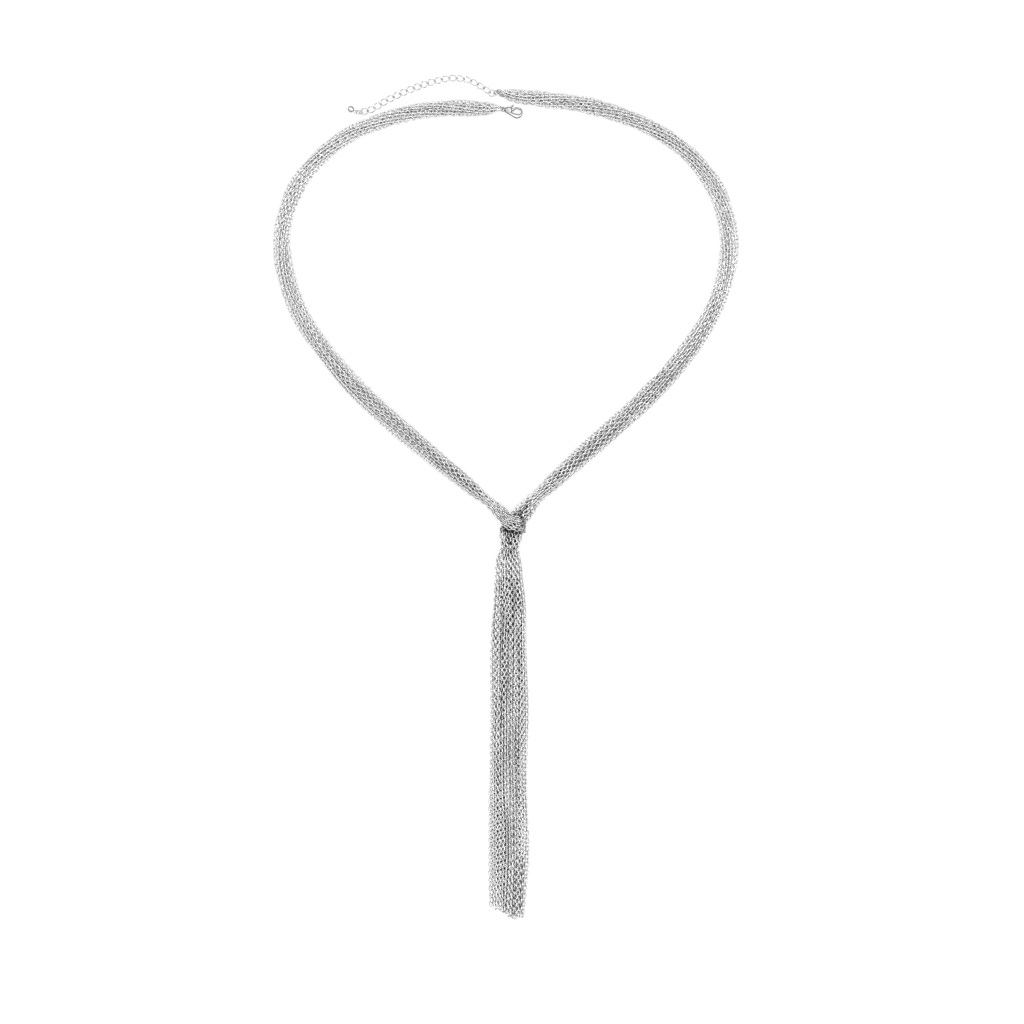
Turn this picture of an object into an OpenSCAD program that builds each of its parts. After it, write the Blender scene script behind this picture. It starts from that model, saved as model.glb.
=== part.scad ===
// Long layered chain necklace, lying flat: two bundles of fine chain meet in a wrapped
// knot and fall as one long tassel. A lobster clasp closes on a chain of curb links.
// Millimetres. The surface that it lies on is z = 0, and the tassel points towards -Y.

/* [Chain bundles] */
// Strands of fine chain that show across a bundle
bundle_lobes = 9; // [6:1:12]
// Depth of the grooves between strands
groove = 0.35; // [0.1:0.05:0.5]
// How far a bundle's strands turn about each other from end to end, in degrees
bundle_turn = 220; // [0:20:360]
// Cross-sections along each bundle
bundle_sections = 44; // [30:1:60]

/* [Knot] */
// Width of the wrapped band, across the necklace
band_across = 12; // [11:0.2:12.4]
// Height of the wrapped band, off the surface
band_rise = 8.3; // [8:0.1:8.6]
// Width of the band along the necklace
band_wide = 7.2; // [6.6:0.1:7.4]
// Slant of the band
band_slant = 14; // [8:1:16]
// Gap left between the knot and the bundles and tassel that leave it
seam = 0.3; // [0.2:0.05:0.5]

/* [Tassel] */
// Strands that show across the tassel
tassel_lobes = 11; // [8:1:14]
// Cross-sections along the tassel
tassel_sections = 26; // [18:1:40]
// Width of one lock at the tassel's end
lock_wide = 1.6; // [1.4:0.1:1.7]
// Thickness of one lock at the tassel's end
lock_thick = 3.4; // [2.5:0.1:4]

/* [Extender] */
// Half width of a curb link, to the middle of its wire
curb_half_w = 1.35; // [1.2:0.05:1.5]
// Twist of a curb link at each end, in degrees
curb_twist = 45; // [40:1:50]
// Wire thickness of a curb link
curb_wire = 0.45; // [0.4:0.01:0.46]
// Play between one curb link's wire and the next
curb_play = 0.24; // [0.22:0.01:0.26]

/* [Rings] */
// Wire thickness of the jump rings
ring_wire = 0.5; // [0.45:0.01:0.5]
// Outside diameter of the ring between the left bundle and the clasp
clasp_ring_d = 3.7; // [3.6:0.05:3.7]
// Outside diameter of the ring that gathers the right bundle
gather_ring_d = 3.4; // [3.35:0.05:3.45]
// Outside diameter of the small ring next to it
small_ring_d = 2.9; // [2.85:0.05:2.95]
// Outside diameter of the extender's first ring
extender_ring_d = 3.5; // [3.45:0.05:3.55]
// Outside diameter of the ring that the drop hangs on
drop_ring_d = 3.2; // [3.15:0.05:3.25]

/* [Clasp] */
// Thickness of the clasp's body
clasp_thick = 2.4; // [2.2:0.1:2.6]
// Thickness of the lever
lever_thick = 0.8; // [0.6:0.05:0.8]
// Outside radius of the hook
hook_r = 2.6; // [2.55:0.05:2.7]
// Radius of the rivet
rivet_r = 0.35; // [0.3:0.01:0.35]
// Distance from the tail eye to the middle of the hook
clasp_reach = 6.45; // [6.4:0.05:6.5]

/* [Drop] */
// Diameter of the small drop at the extender's end
drop_d = 3; // [2.8:0.1:3.2]
// Distance from the drop's eye to the middle of its round end
drop_reach = 2.8; // [2.6:0.1:3]

/* [Hidden] */
CURB_COUNT = 19;
CURB_NAMES = [for (number = [1 : CURB_COUNT]) str("curb_link_", number < 10 ? "0" : "", number)];

SILVER = [0.83, 0.84, 0.85];
BRIGHT = [0.9, 0.9, 0.91];
POINTS_A_LOBE = 3;
SMALL_STEP = 0.01;

// Left bundle from the clasp to the knot: x, y, width, height, lift off the surface
LEFT = [
    [-6.2, 174.2, 3.6, 3.2, 0.4],
    [-8, 174.3, 5.2, 4, 0],
    [-15, 174.9, 6.8, 4.2, 0],
    [-24, 175.5, 7, 4.2, 0],
    [-42, 173.6, 7, 4.2, 0],
    [-59, 168.7, 6.4, 4.2, 0],
    [-75.3, 161, 6, 4.4, 0],
    [-88.7, 149, 6.8, 4.2, 0],
    [-98, 133.8, 6.8, 4.2, 0],
    [-101.7, 116, 7, 4.2, 0],
    [-99.4, 98.3, 7.8, 4, 0],
    [-93, 81.6, 8.4, 4, 0],
    [-83, 66.6, 8.8, 4, 0],
    [-71.6, 52.7, 9.3, 3.8, 0],
    [-58.6, 40.2, 9.3, 3.8, 0],
    [-45, 28.6, 8.8, 4, 0],
    [-31.2, 16.9, 7.6, 4.2, 0],
    [-17.4, 5.4, 6.4, 4.6, 0.2],
    [-7.4, -2.4, 5.6, 5, 1.2],
    [0.6, -8.8, 5.9, 4.8, 1.5]
];

// Right bundle from the gather ring to the knot: x, y, width, height, lift off the surface
RIGHT = [
    [-1, 181.2, 3.6, 3.2, 0.4],
    [1, 180.8, 5, 4, 0],
    [7, 179.9, 6, 4.2, 0],
    [16, 179.1, 6.7, 4.2, 0],
    [34, 177.1, 7.6, 4.2, 0],
    [51, 172.5, 7, 4.2, 0],
    [67.6, 165.3, 6, 4.4, 0],
    [82.2, 154.9, 6.6, 4.2, 0],
    [93.5, 141, 8.2, 4, 0],
    [99.8, 124.2, 8.3, 4, 0],
    [100.2, 106.2, 8.3, 4, 0],
    [95.4, 88.9, 8.1, 4, 0],
    [87, 73, 8.4, 4, 0],
    [76.2, 58.5, 8.7, 4, 0],
    [64, 45.4, 9.2, 3.8, 0],
    [50.8, 33.3, 9.2, 3.8, 0],
    [37.3, 21.4, 8.8, 4, 0],
    [23.7, 9.5, 7.8, 4.4, 0.2],
    [12.8, -0.6, 6.6, 5, 1.2],
    [4.9, -8.9, 6.3, 5.1, 2]
];

// Knot above its band, from the top down: x, y, width, height, lift, slant as a share of the band's
KNOT_TOP = [
    [2.3, -4.6, 2.1, 2.3, 3.1, 0],
    [2.5, -5.9, 5.1, 5.3, 2.2, 0.2],
    [2.5, -7.4, 8.3, 6.1, 1.4, 0.6],
    [2.6, -9, 10.3, 7, 0.7, 1]
];

// Knot below its band, down to the tassel, in the same columns
KNOT_LOW = [
    [2.6, -17.4, 10, 6.8, 0.7, 1],
    [2.3, -19.2, 9, 6.6, 0.7, 0.6],
    [1.8, -21.2, 8.2, 6.3, 0.7, 0.2],
    [1.2, -24.2, 7.8, 6, 0.8, 0]
];

// Tassel from the seam below the knot down: x, y, width, height, lift off the surface
TASSEL = [
    [1.2, -24.2 - seam, 7.8, 6, 0.8],
    [0.8, -26.5, 10.6, 5.8, 0.4],
    [0.9, -29, 12.4, 5.4, 0.1],
    [1, -38, 13.4, 4.8, 0],
    [1.6, -47, 14.4, 4.6, 0],
    [1.1, -60, 17, 4.4, 0],
    [1.3, -91, 17.6, 4.4, 0],
    [0.8, -118, 16.8, 4.4, 0],
    [0.6, -132, 17.4, 4.4, 0],
    [0.9, -150, 18.2, 4.4, 0],
    [0.4, -161, 18.6, 4.2, 0],
    [0.6, -172, 17.6, 4, 0],
    [0.7, -177, 16.6, 3.8, 0]
];

// The tassel's locks from left to right: x at the end, y at the end
LOCKS = [
    [-6.9, -185.2],
    [-5.2, -185.9],
    [-3.4, -186.5],
    [-1.6, -187.3],
    [0.2, -188.6],
    [2, -189.6],
    [3.8, -190],
    [5.6, -189.3],
    [7.3, -187.4],
    [8.6, -183.6]
];
LOCK_GATHER = 0.85;
LOCK_ROOT_Y = [-174, -177.3, -179];
LOCK_ROOT_RISE = 1.8;
LOCK_TAPER = 1.2;
LOCK_TIP = 0.6;

// Route of the extender from its free end to its first ring: x, y, roll of the links
EXTENDER = [
    [-64.2, 173.7, 0],
    [-60.8, 174.7, 0],
    [-51, 180.2, 4],
    [-38, 185.6, 10],
    [-26, 188.6, 20],
    [-17.6, 187.9, 30],
    [-11.6, 185, 35],
    [-8.85, 183.2, 35]
];
ROUTE_STEP = 0.02;

// Middle of the knot's band: x, y, with the strands that show across it, round the knot and round
// the two arms that enter it
BAND_AT = [2.9, -13.2];
BAND_LOBES = 6;
KNOT_LOBES = 9;
ARM_LOBES = 4;

// Places of the clasp and the drop: x, y, z, with their headings
CLASP_AT = [-1.6, 174.7, 0];
CLASP_HEADING = -13;
DROP_AT = [-67.6, 173.4, 1.2];
DROP_HEADING = 152;

// Places of the rings' middles, x, y, z, with the tilt and the heading of each
CLASP_RING_AT = [-3, 174.65, 1.87];
CLASP_RING_TURN = [82, 0, 8];
GATHER_RING_AT = [-3.1, 182.3, 1.53];
GATHER_RING_TURN = [60, 0, -32];
SMALL_RING_AT = [-4.5, 182.1, 0.96];
SMALL_RING_TURN = [-35, 0, 13];
EXTENDER_RING_AT = [-6.5, 182, 0.91];
EXTENDER_RING_TURN = [25, 0, 7];
DROP_RING_AT = [-66.31, 173.44, 1.43];
DROP_RING_TURN = [58.6, 0, -5];

// Chain links that close the two bundles' ends: x, y, z, with the headings that they need
LEFT_END_LINK = [-5, 174.4, 1.6];
RIGHT_END_LINK = [-1.55, 181.4, 1.55];
RIGHT_END_TURN = -25;
END_LINK_HALF_L = 1.1;
END_LINK_HALF_W = 0.95;
END_LINK_WIRE = 0.45;

// Heading of the tassel, and how far its strands turn along it
TASSEL_HEADING = -90;
TASSEL_TURN = 40;

function curved(value, power) = sign(value) * pow(abs(value), power);

function clamp(value, top) = max(0, min(top, value));

// A smooth row of a station table at the place u, counted in rows
function row_at(rows, u) =
    let (
        last = len(rows) - 1,
        i = clamp(floor(u), last - 1),
        f = u - i,
        a = rows[clamp(i - 1, last)],
        b = rows[i],
        c = rows[i + 1],
        d = rows[clamp(i + 2, last)]
    )
    0.5 * (2 * b + (c - a) * f + (2 * a - 5 * b + 4 * c - d) * f * f
        + (3 * b - a - 3 * c + d) * f * f * f);

function heading_at(rows, u) =
    let (step = row_at(rows, u + SMALL_STEP) - row_at(rows, u - SMALL_STEP)) atan2(step[1], step[0]);

// A flattened round outline, upright across the heading, with a groove after each strand,
// and never below the surface
function strand_outline(row, heading, lobes, turn) =
    let (count = lobes * POINTS_A_LOBE, side = [-sin(heading), cos(heading)])
    [
        for (k = [0 : count - 1])
            let (
                a = 360 * k / count + turn,
                dip = k % POINTS_A_LOBE == 0 ? groove : 0,
                across = (row[2] / 2 - dip) * curved(cos(a), 0.85),
                rise = (row[3] / 2 - dip) * curved(sin(a), 0.7)
            )
            [row[0] + side[0] * across, row[1] + side[1] * across, max(0, row[4] + row[3] / 2 + rise)]
    ];

// Faces of a tube of outlines, with a flat face at each end
function tube_faces(rings, sides) = concat(
    [[for (k = [0 : sides - 1]) k]],
    [
        for (j = [0 : rings - 2], k = [0 : sides - 1], half = [0, 1])
            let (n = (k + 1) % sides, low = j * sides, high = low + sides)
            half == 0 ? [low + k, high + k, high + n] : [low + k, high + n, low + n]
    ],
    [[for (k = [sides - 1 : -1 : 0]) (rings - 1) * sides + k]]
);

// Faces of a closed loop of outlines
function loop_faces(rings, sides) = [
    for (j = [0 : rings - 1], k = [0 : sides - 1], half = [0, 1])
        let (n = (k + 1) % sides, low = j * sides, high = ((j + 1) % rings) * sides)
        half == 0 ? [low + k, high + k, high + n] : [low + k, high + n, low + n]
];

// A grooved bundle through the rows from u_start to u_end. Its sections stand across its own
// route, or all across the one heading that is given.
module strand_bundle(rows, u_start, u_end, sections, lobes, turn_start, turn_end, heading = undef) {
    outlines = [
        for (j = [0 : sections - 1])
            let (
                f = j / (sections - 1),
                u = u_start + (u_end - u_start) * f,
                across = is_undef(heading) ? heading_at(rows, u) : heading
            )
            strand_outline(row_at(rows, u), across, lobes, turn_start + (turn_end - turn_start) * f)
    ];
    polyhedron([for (outline = outlines) each outline], tube_faces(sections, lobes * POINTS_A_LOBE));
}

// Middle of a link's wire at the angle t, for a flat or a twisted link
function link_point(half_l, half_w, twist, t) =
    let (turn = twist * cos(t))
    [half_l * cos(t), half_w * sin(t) * cos(turn), half_w * sin(t) * sin(turn)];

// A link of round wire, lying along X
module wire_link(half_l, half_w, twist, wire, around = 14, sides = 6) {
    outlines = [
        for (j = [0 : around - 1])
            let (
                t = 360 * j / around,
                middle = link_point(half_l, half_w, twist, t),
                step = link_point(half_l, half_w, twist, t + 1) - link_point(half_l, half_w, twist, t - 1),
                along = step / norm(step),
                outer = middle - along * (middle * along),
                out = outer / norm(outer),
                over = cross(along, out)
            )
            [
                for (k = [0 : sides - 1])
                    let (a = 360 * (k + 0.5) / sides)
                    middle + wire / 2 * (cos(a) * out + sin(a) * over)
            ]
    ];
    polyhedron([for (outline = outlines) each outline], loop_faces(around, sides));
}

// A closed round ring of true round wire, in the XY plane
module jump_ring(outside_d) {
    rotate_extrude($fn = 40) translate([(outside_d - ring_wire) / 2, 0]) circle(d = ring_wire, $fn = 16);
}

// The seam between a bundle and the knot, counted in rows of the bundle's table
function seam_row(rows) = len(rows) - 2;

// The same seam moved along by the gap
function past_seam(rows) =
    let (last = len(rows) - 1, span = norm([for (k = [0, 1]) rows[last][k] - rows[last - 1][k]]))
    seam_row(rows) + seam / span;

// Chain links that close a bundle's end and hang on its ring
module end_link(at, heading) {
    translate(at) rotate([0, 0, heading]) wire_link(END_LINK_HALF_L, END_LINK_HALF_W, 0, END_LINK_WIRE, 12, 6);
}

module left_bundle() {
    color(SILVER) union() {
        strand_bundle(LEFT, 0, seam_row(LEFT), bundle_sections, bundle_lobes, 0, bundle_turn);
        end_link(LEFT_END_LINK, 0);
    }
}

module right_bundle() {
    color(SILVER) union() {
        strand_bundle(RIGHT, 0, seam_row(RIGHT), bundle_sections, bundle_lobes, 0, -bundle_turn);
        end_link(RIGHT_END_LINK, RIGHT_END_TURN);
    }
}

// Outline across the knot. The slant leans it over along the necklace.
function knot_outline(row, dent) =
    [
        for (k = [0 : KNOT_LOBES * POINTS_A_LOBE - 1])
            let (
                a = 360 * k / (KNOT_LOBES * POINTS_A_LOBE),
                dip = k % POINTS_A_LOBE == 0 ? dent : 0,
                across = (row[2] / 2 - dip) * curved(cos(a), 0.8),
                rise = (row[3] / 2 - dip) * curved(sin(a), 0.8)
            )
            [row[0] + across, row[1] + across * tan(band_slant * row[5]), row[4] + row[3] / 2 + rise]
    ];

// A row of the wrapped band at the share f of its width, rounded at both edges, with a groove
// after each strand
function band_row(f, dip) =
    let (edge = 1 - 0.1 * pow(abs(2 * f - 1), 4), wide = band_across * edge - dip, high = band_rise * edge - dip)
    [BAND_AT[0], BAND_AT[1] + band_wide * (0.5 - f), wide, high, (band_rise - high) / 2, 1];

module knot_body() {
    count = BAND_LOBES * POINTS_A_LOBE;
    outlines = concat(
        [for (row = KNOT_TOP) knot_outline(row, groove)],
        [for (j = [0 : count]) knot_outline(band_row(j / count, j % POINTS_A_LOBE == 0 ? 2 * groove : 0), 0)],
        [for (row = KNOT_LOW) knot_outline(row, groove)]
    );
    polyhedron([for (outline = outlines) each outline], tube_faces(len(outlines), KNOT_LOBES * POINTS_A_LOBE));
}

module knot() {
    color(SILVER) union() {
        strand_bundle(LEFT, past_seam(LEFT), len(LEFT) - 1, 2, ARM_LOBES, 0, 0);
        strand_bundle(RIGHT, past_seam(RIGHT), len(RIGHT) - 1, 2, ARM_LOBES, 0, 0);
        knot_body();
    }
}

// One lock at the tassel's end, from its root inside the tassel to its own tip
module lock(place) {
    root_x = place[0] * LOCK_GATHER;
    root_lift = (lock_thick - LOCK_ROOT_RISE) / 2;
    rows = [
        [root_x, LOCK_ROOT_Y[0], lock_wide * 0.8, LOCK_ROOT_RISE, root_lift],
        [root_x, LOCK_ROOT_Y[1], lock_wide * 0.8, LOCK_ROOT_RISE, root_lift],
        [root_x, LOCK_ROOT_Y[2], lock_wide * 0.9, lock_thick, 0],
        [place[0], place[1] + LOCK_TAPER, lock_wide, lock_thick, 0],
        [place[0], place[1], lock_wide * LOCK_TIP, lock_thick * LOCK_TIP, 0.5]
    ];
    outlines = [
        for (row = rows) [
            for (k = [0 : 7])
                let (a = 45 * (k + 0.5))
                [row[0] + row[2] / 2 * curved(cos(a), 0.7), row[1], row[4] + row[3] / 2 * (1 + curved(sin(a), 0.7))]
        ]
    ];
    polyhedron([for (outline = outlines) each outline], tube_faces(len(rows), 8));
}

module tassel() {
    color(SILVER) union() {
        strand_bundle(TASSEL, 0, len(TASSEL) - 1, tassel_sections, tassel_lobes, 0, TASSEL_TURN, TASSEL_HEADING);
        for (place = LOCKS) lock(place);
    }
}

module clasp_ring() {
    color(BRIGHT) translate(CLASP_RING_AT) rotate(CLASP_RING_TURN) jump_ring(clasp_ring_d);
}

module gather_ring() {
    color(BRIGHT) translate(GATHER_RING_AT) rotate(GATHER_RING_TURN) jump_ring(gather_ring_d);
}

module small_ring() {
    color(BRIGHT) translate(SMALL_RING_AT) rotate(SMALL_RING_TURN) jump_ring(small_ring_d);
}

module extender_ring() {
    color(BRIGHT) translate(EXTENDER_RING_AT) rotate(EXTENDER_RING_TURN) jump_ring(extender_ring_d);
}

function route_point(u) = let (row = row_at(EXTENDER, u)) [row[0], row[1]];

// Length of the extender's route from its start to the place u, added up in short steps
ROUTE_LENGTHS = [
    for (
        u = 0, length = 0;
        u <= len(EXTENDER) - 1 + ROUTE_STEP / 2;
        length = length + norm(route_point(u + ROUTE_STEP) - route_point(u)), u = u + ROUTE_STEP
    )
    [length, u]
];
CURB_PITCH = ROUTE_LENGTHS[len(ROUTE_LENGTHS) - 1][0] / (len(CURB_NAMES) - 1);
CURB_HALF_L = (CURB_PITCH + curb_wire + curb_play) / 2;

// Height of a curb link's middle when the link, rolled about its length, lies on the surface
function curb_height(roll) =
    curb_wire / 2 - min([
        for (t = [0 : 10 : 350])
            let (p = link_point(CURB_HALF_L, curb_half_w, curb_twist, t)) p[1] * sin(roll) + p[2] * cos(roll)
    ]);

module curb_link(index) {
    u = lookup(index * CURB_PITCH, ROUTE_LENGTHS);
    row = row_at(EXTENDER, u);
    color(BRIGHT) translate([row[0], row[1], curb_height(row[2])])
        rotate([0, 0, heading_at(EXTENDER, u)]) rotate([row[2], 0, 0])
            wire_link(CURB_HALF_L, curb_half_w, curb_twist, curb_wire);
}

module drop_ring() {
    color(BRIGHT) translate(DROP_RING_AT) rotate(DROP_RING_TURN) jump_ring(drop_ring_d);
}

// A pear drop that lies on its side, with the eye it hangs from
DROP_EYE_R = 0.75;
DROP_NECK_R = 0.3;
DROP_NECK_L = 1.6;
DROP_NECK_TILT = 84;

module end_drop() {
    color(BRIGHT) translate(DROP_AT) rotate([0, 0, DROP_HEADING]) {
        rotate_extrude($fn = 24) translate([DROP_EYE_R, 0]) circle(d = ring_wire, $fn = 16);
        translate([drop_reach, 0, drop_d / 2 - DROP_AT[2]]) sphere(d = drop_d, $fn = 32);
        translate([DROP_EYE_R, 0, 0.05]) rotate([0, DROP_NECK_TILT, 0])
            cylinder(h = DROP_NECK_L, r1 = DROP_NECK_R, r2 = drop_d / 2 - 0.35, $fn = 32);
    }
}

// Clasp, seen from above with its tail eye at the origin and its hook towards +X
EYE_HOLE_R = 0.7;
TAIL_R = 1.15;
TAIL_THICK = 0.7;
PIVOT = [2.3, 0.1];
CHEEK_R = 1.45;
HOOK_DROP = 0.05;
SLOT_THICK = 1;
HUB_R = 0.85;
GATE_OUT_R = 2.45;
GATE_IN_R = 1.6;
TAB_TIP = [4.1, 2.75];
TAB_R = 0.3;
CUT = 1;

module at_clasp() {
    translate(CLASP_AT) rotate([0, 0, CLASP_HEADING]) children();
}

// Plan of the clasp's solid body before the eye is cut
module clasp_plan() {
    translate([clasp_reach, -HOOK_DROP]) circle(r = hook_r, $fn = 64);
    translate(PIVOT) circle(r = CHEEK_R, $fn = 48);
    polygon([[1.6, -1.15], [6.1, -2.62], [6.4, 0], [4.2, 1.6], [2.5, 1.53]]);
}

// Plan of the open middle, where a ring is held, and of the mouth that the gate closes
module clasp_opening() {
    translate([7.15, 0.4]) circle(r = 1.15, $fn = 48);
    translate([4.9, 0]) circle(r = 0.75, $fn = 32);
    polygon([
        [4.9, -0.75], [7.15, -0.75], [8.2, 0], [8.15, 1.1], [7.68, 1.57], [7.31, 2.68],
        [7.14, 3.2], [3.9, 3.2], [3.7, 0.9], [4.3, 0.4]
    ]);
}

// Plan of the slot that the lever turns in
module lever_slot() {
    translate(PIVOT) circle(r = HUB_R + 0.15, $fn = 32);
    polygon([[1.9, 1], [2.3, -0.9], [5, -0.7], [5, 1.9], [4.2, 3.2], [1.6, 1.6]]);
}

module clasp_body() {
    color(BRIGHT) at_clasp() difference() {
        union() {
            linear_extrude(clasp_thick) clasp_plan();
            translate([0, 0, (clasp_thick - TAIL_THICK) / 2]) linear_extrude(TAIL_THICK) union() {
                circle(r = TAIL_R, $fn = 40);
                polygon([[0.75, -0.85], [1.6, -1], [1.6, 1], [0.75, 0.85]]);
            }
        }
        translate([0, 0, -CUT]) linear_extrude(clasp_thick + 2 * CUT) clasp_opening();
        translate([0, 0, (clasp_thick - SLOT_THICK) / 2]) linear_extrude(SLOT_THICK) lever_slot();
        translate([PIVOT[0], PIVOT[1], -CUT]) cylinder(h = clasp_thick + 2 * CUT, r = rivet_r + 0.02, $fn = 32);
        translate([0, 0, -CUT]) cylinder(h = clasp_thick + 2 * CUT, r = EYE_HOLE_R, $fn = 32);
    }
}

// Plan of the arched gate that closes the hook's mouth. Its end runs along its own path as it
// swings in, so it slides past the hook's nose.
module gate_plan() {
    intersection() {
        translate([clasp_reach, -HOOK_DROP]) difference() {
            circle(r = GATE_OUT_R, $fn = 64);
            circle(r = GATE_IN_R, $fn = 64);
        }
        polygon([[3, -0.2], [3.4, 3], [7.07, 3], [7.78, 0.86], [6.45, 0.3], [4.5, 0.35]]);
    }
    polygon([[2.4, -0.6], [4.85, 0.3], [4.6, 1.5], [2.6, 0.9]]);
}

// Plan of the lever: a hub, the gate and the thumb tab
module lever_plan() {
    translate(PIVOT) circle(r = HUB_R, $fn = 32);
    gate_plan();
    translate(TAB_TIP) circle(r = TAB_R, $fn = 24);
    polygon([[2.1, 0.9], [3, 0.5], [3.4, 0.9], [4.3, 2.54], [3.9, 2.98]]);
}

module clasp_lever() {
    color(BRIGHT) at_clasp() difference() {
        translate([0, 0, (clasp_thick - lever_thick) / 2]) linear_extrude(lever_thick) lever_plan();
        translate([PIVOT[0], PIVOT[1], 0]) cylinder(h = clasp_thick, r = rivet_r + 0.05, $fn = 32);
    }
}

module clasp_rivet() {
    color(BRIGHT) at_clasp() translate([PIVOT[0], PIVOT[1], 0.02])
        cylinder(h = clasp_thick - 0.04, r = rivet_r, $fn = 32);
}

left_bundle();
right_bundle();
knot();
tassel();
clasp_ring();
clasp_body();
clasp_lever();
clasp_rivet();
gather_ring();
small_ring();
extender_ring();
for (index = [0 : CURB_COUNT - 1]) curb_link(index);
drop_ring();
end_drop();
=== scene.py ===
"""Layered chain necklace: every fine chain, ring, link and clasp part, with its finish.

Lengths in the classes are millimetres, as in the part's source. Meshes are written in metres.
"""
import logging
import math
from dataclasses import dataclass, field
from enum import Enum

import bmesh
import bpy
import numpy as np
from bmesh.types import BMesh
from bpy.types import ID, Material, Mesh, Node, NodeSocket, NodeTree, Object
from mathutils import Matrix, Vector
from mathutils.kdtree import KDTree
from numpy.random import Generator, default_rng


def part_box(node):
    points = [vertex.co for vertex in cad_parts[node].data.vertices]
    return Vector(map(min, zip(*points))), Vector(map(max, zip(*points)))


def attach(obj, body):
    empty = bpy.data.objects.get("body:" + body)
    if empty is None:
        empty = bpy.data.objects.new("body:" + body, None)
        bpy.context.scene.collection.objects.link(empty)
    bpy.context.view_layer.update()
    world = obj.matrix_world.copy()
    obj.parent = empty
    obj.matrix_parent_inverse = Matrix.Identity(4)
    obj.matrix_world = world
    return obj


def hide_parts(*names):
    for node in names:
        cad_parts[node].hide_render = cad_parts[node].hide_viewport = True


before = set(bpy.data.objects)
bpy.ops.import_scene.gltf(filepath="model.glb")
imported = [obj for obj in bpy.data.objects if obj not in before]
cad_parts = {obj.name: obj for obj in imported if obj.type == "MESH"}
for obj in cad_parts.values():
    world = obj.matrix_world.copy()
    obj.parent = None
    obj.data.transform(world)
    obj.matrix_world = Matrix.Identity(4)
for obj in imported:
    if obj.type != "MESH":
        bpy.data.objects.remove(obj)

Array = np.ndarray
Pair = tuple[float, float]
Place = tuple[float, float, float]
Row = tuple[float, ...]
log = logging.getLogger("necklace")
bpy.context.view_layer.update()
MM = 0.001
NECKLACE = "necklace"
LEVER = "lever"
SEED = 7145
WHITE = (1, 1, 1, 1)
# Points of a finished mesh that lie closer than this, in metres, are one
MERGE = 1e-7
# Distance between stations along a bundle, and between the points of a chain's way in the knot
STEP = 0.85
FINE_STEP = 0.05
# From a chain's middle to its bundle's outline, and the least height that its chains spread over
CHAIN_REACH = 1.1
LEAST_RISE = 0.3
# Sines that make up a slow drift, and the top of a random phase in radians
WAVES = 3
PHASE = 6.3
# Stations at which a chain leaves its bundle for the knot, and those where it enters the tassel
LAST_STATIONS = [-3, -1]
TASSEL_STATIONS = [3, 6]
TASSEL_JOIN = 7

# The two bundles from their rings to the knot, and the tassel below it: x, y, width, height, lift
LEFT_ROWS = np.array([
    (-6.2, 174.5, 5.4, 3.6, 0.2), (-8, 174.5, 6.4, 4, 0), (-15, 174.9, 7, 4.2, 0),
    (-24, 175.5, 7, 4.2, 0), (-42, 173.6, 7, 4.2, 0), (-59, 168.7, 6.4, 4.2, 0),
    (-75.3, 161, 6, 4.4, 0), (-88.7, 149, 6.8, 4.2, 0), (-98, 133.8, 6.8, 4.2, 0),
    (-101.7, 116, 7, 4.2, 0), (-99.4, 98.3, 7.8, 4, 0), (-93, 81.6, 8.4, 4, 0),
    (-83, 66.6, 8.8, 4, 0), (-71.6, 52.7, 9.3, 3.8, 0), (-58.6, 40.2, 9.3, 3.8, 0),
    (-45, 28.6, 8.8, 4, 0), (-31.2, 16.9, 7.6, 4.2, 0), (-17.4, 5.4, 6.4, 4.6, 0.2),
    (-7.4, -2.6, 4.8, 5, 1.2),
])
RIGHT_ROWS = np.array([
    (-1, 181.1, 4.4, 3.4, 0.3), (1, 180.8, 5, 4, 0), (7, 179.9, 6, 4.2, 0),
    (16, 179.1, 6.7, 4.2, 0), (34, 177.1, 7.6, 4.2, 0), (51, 172.5, 7, 4.2, 0),
    (67.6, 165.3, 6, 4.4, 0), (82.2, 154.9, 6.6, 4.2, 0), (93.5, 141, 8.2, 4, 0),
    (99.8, 124.2, 8.3, 4, 0), (100.2, 106.2, 8.3, 4, 0), (95.4, 88.9, 8.1, 4, 0),
    (87, 73, 8.4, 4, 0), (76.2, 58.5, 8.7, 4, 0), (64, 45.4, 9.2, 3.8, 0),
    (50.8, 33.3, 9.2, 3.8, 0), (37.3, 21.4, 8.8, 4, 0), (23.7, 9.5, 7.8, 4.4, 0.2),
    (12.8, -0.6, 6.6, 5, 1.2),
])
TASSEL_ROWS = np.array([
    (1.2, -24.5, 7.8, 6, 0.8), (0.8, -26.5, 10.6, 5.8, 0.4), (0.9, -29, 12.4, 5.4, 0.1),
    (1, -38, 13.4, 4.8, 0), (1.6, -47, 14.4, 4.6, 0), (1.1, -60, 17, 4.4, 0),
    (1.3, -91, 17.6, 4.4, 0), (0.8, -118, 16.8, 4.4, 0), (0.6, -132, 17.4, 4.4, 0),
    (0.9, -150, 19.6, 4.4, 0), (1, -160, 20, 4.2, 0), (0.6, -172, 19, 4, 0),
    (0.3, -182, 17.2, 3.8, 0), (0.3, -190, 16.6, 3.8, 0),
])

# Where the tassel's chains end, from left to right: x, y
TASSEL_ENDS = np.array([
    (-7.6, -185), (-5.2, -185.8), (-2.6, -186.8), (-0.8, -188.2), (0.6, -189.4),
    (1.9, -190.2), (4.7, -190.4), (7.2, -189.8), (8.3, -188.2), (9.6, -184),
])

# The right chains' way through the knot: x, y, z of their middle, lean, pinch
CORE_ROWS = np.array([
    (8, -6.2, 3.8, -0.75, 1), (5.4, -9.4, 4, -0.5, 1), (3.8, -12.6, 4.1, -0.1, 1),
    (3.8, -16.4, 4, 0, 0.95), (3.5, -19.4, 4, 0, 0.75),
])

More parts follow.
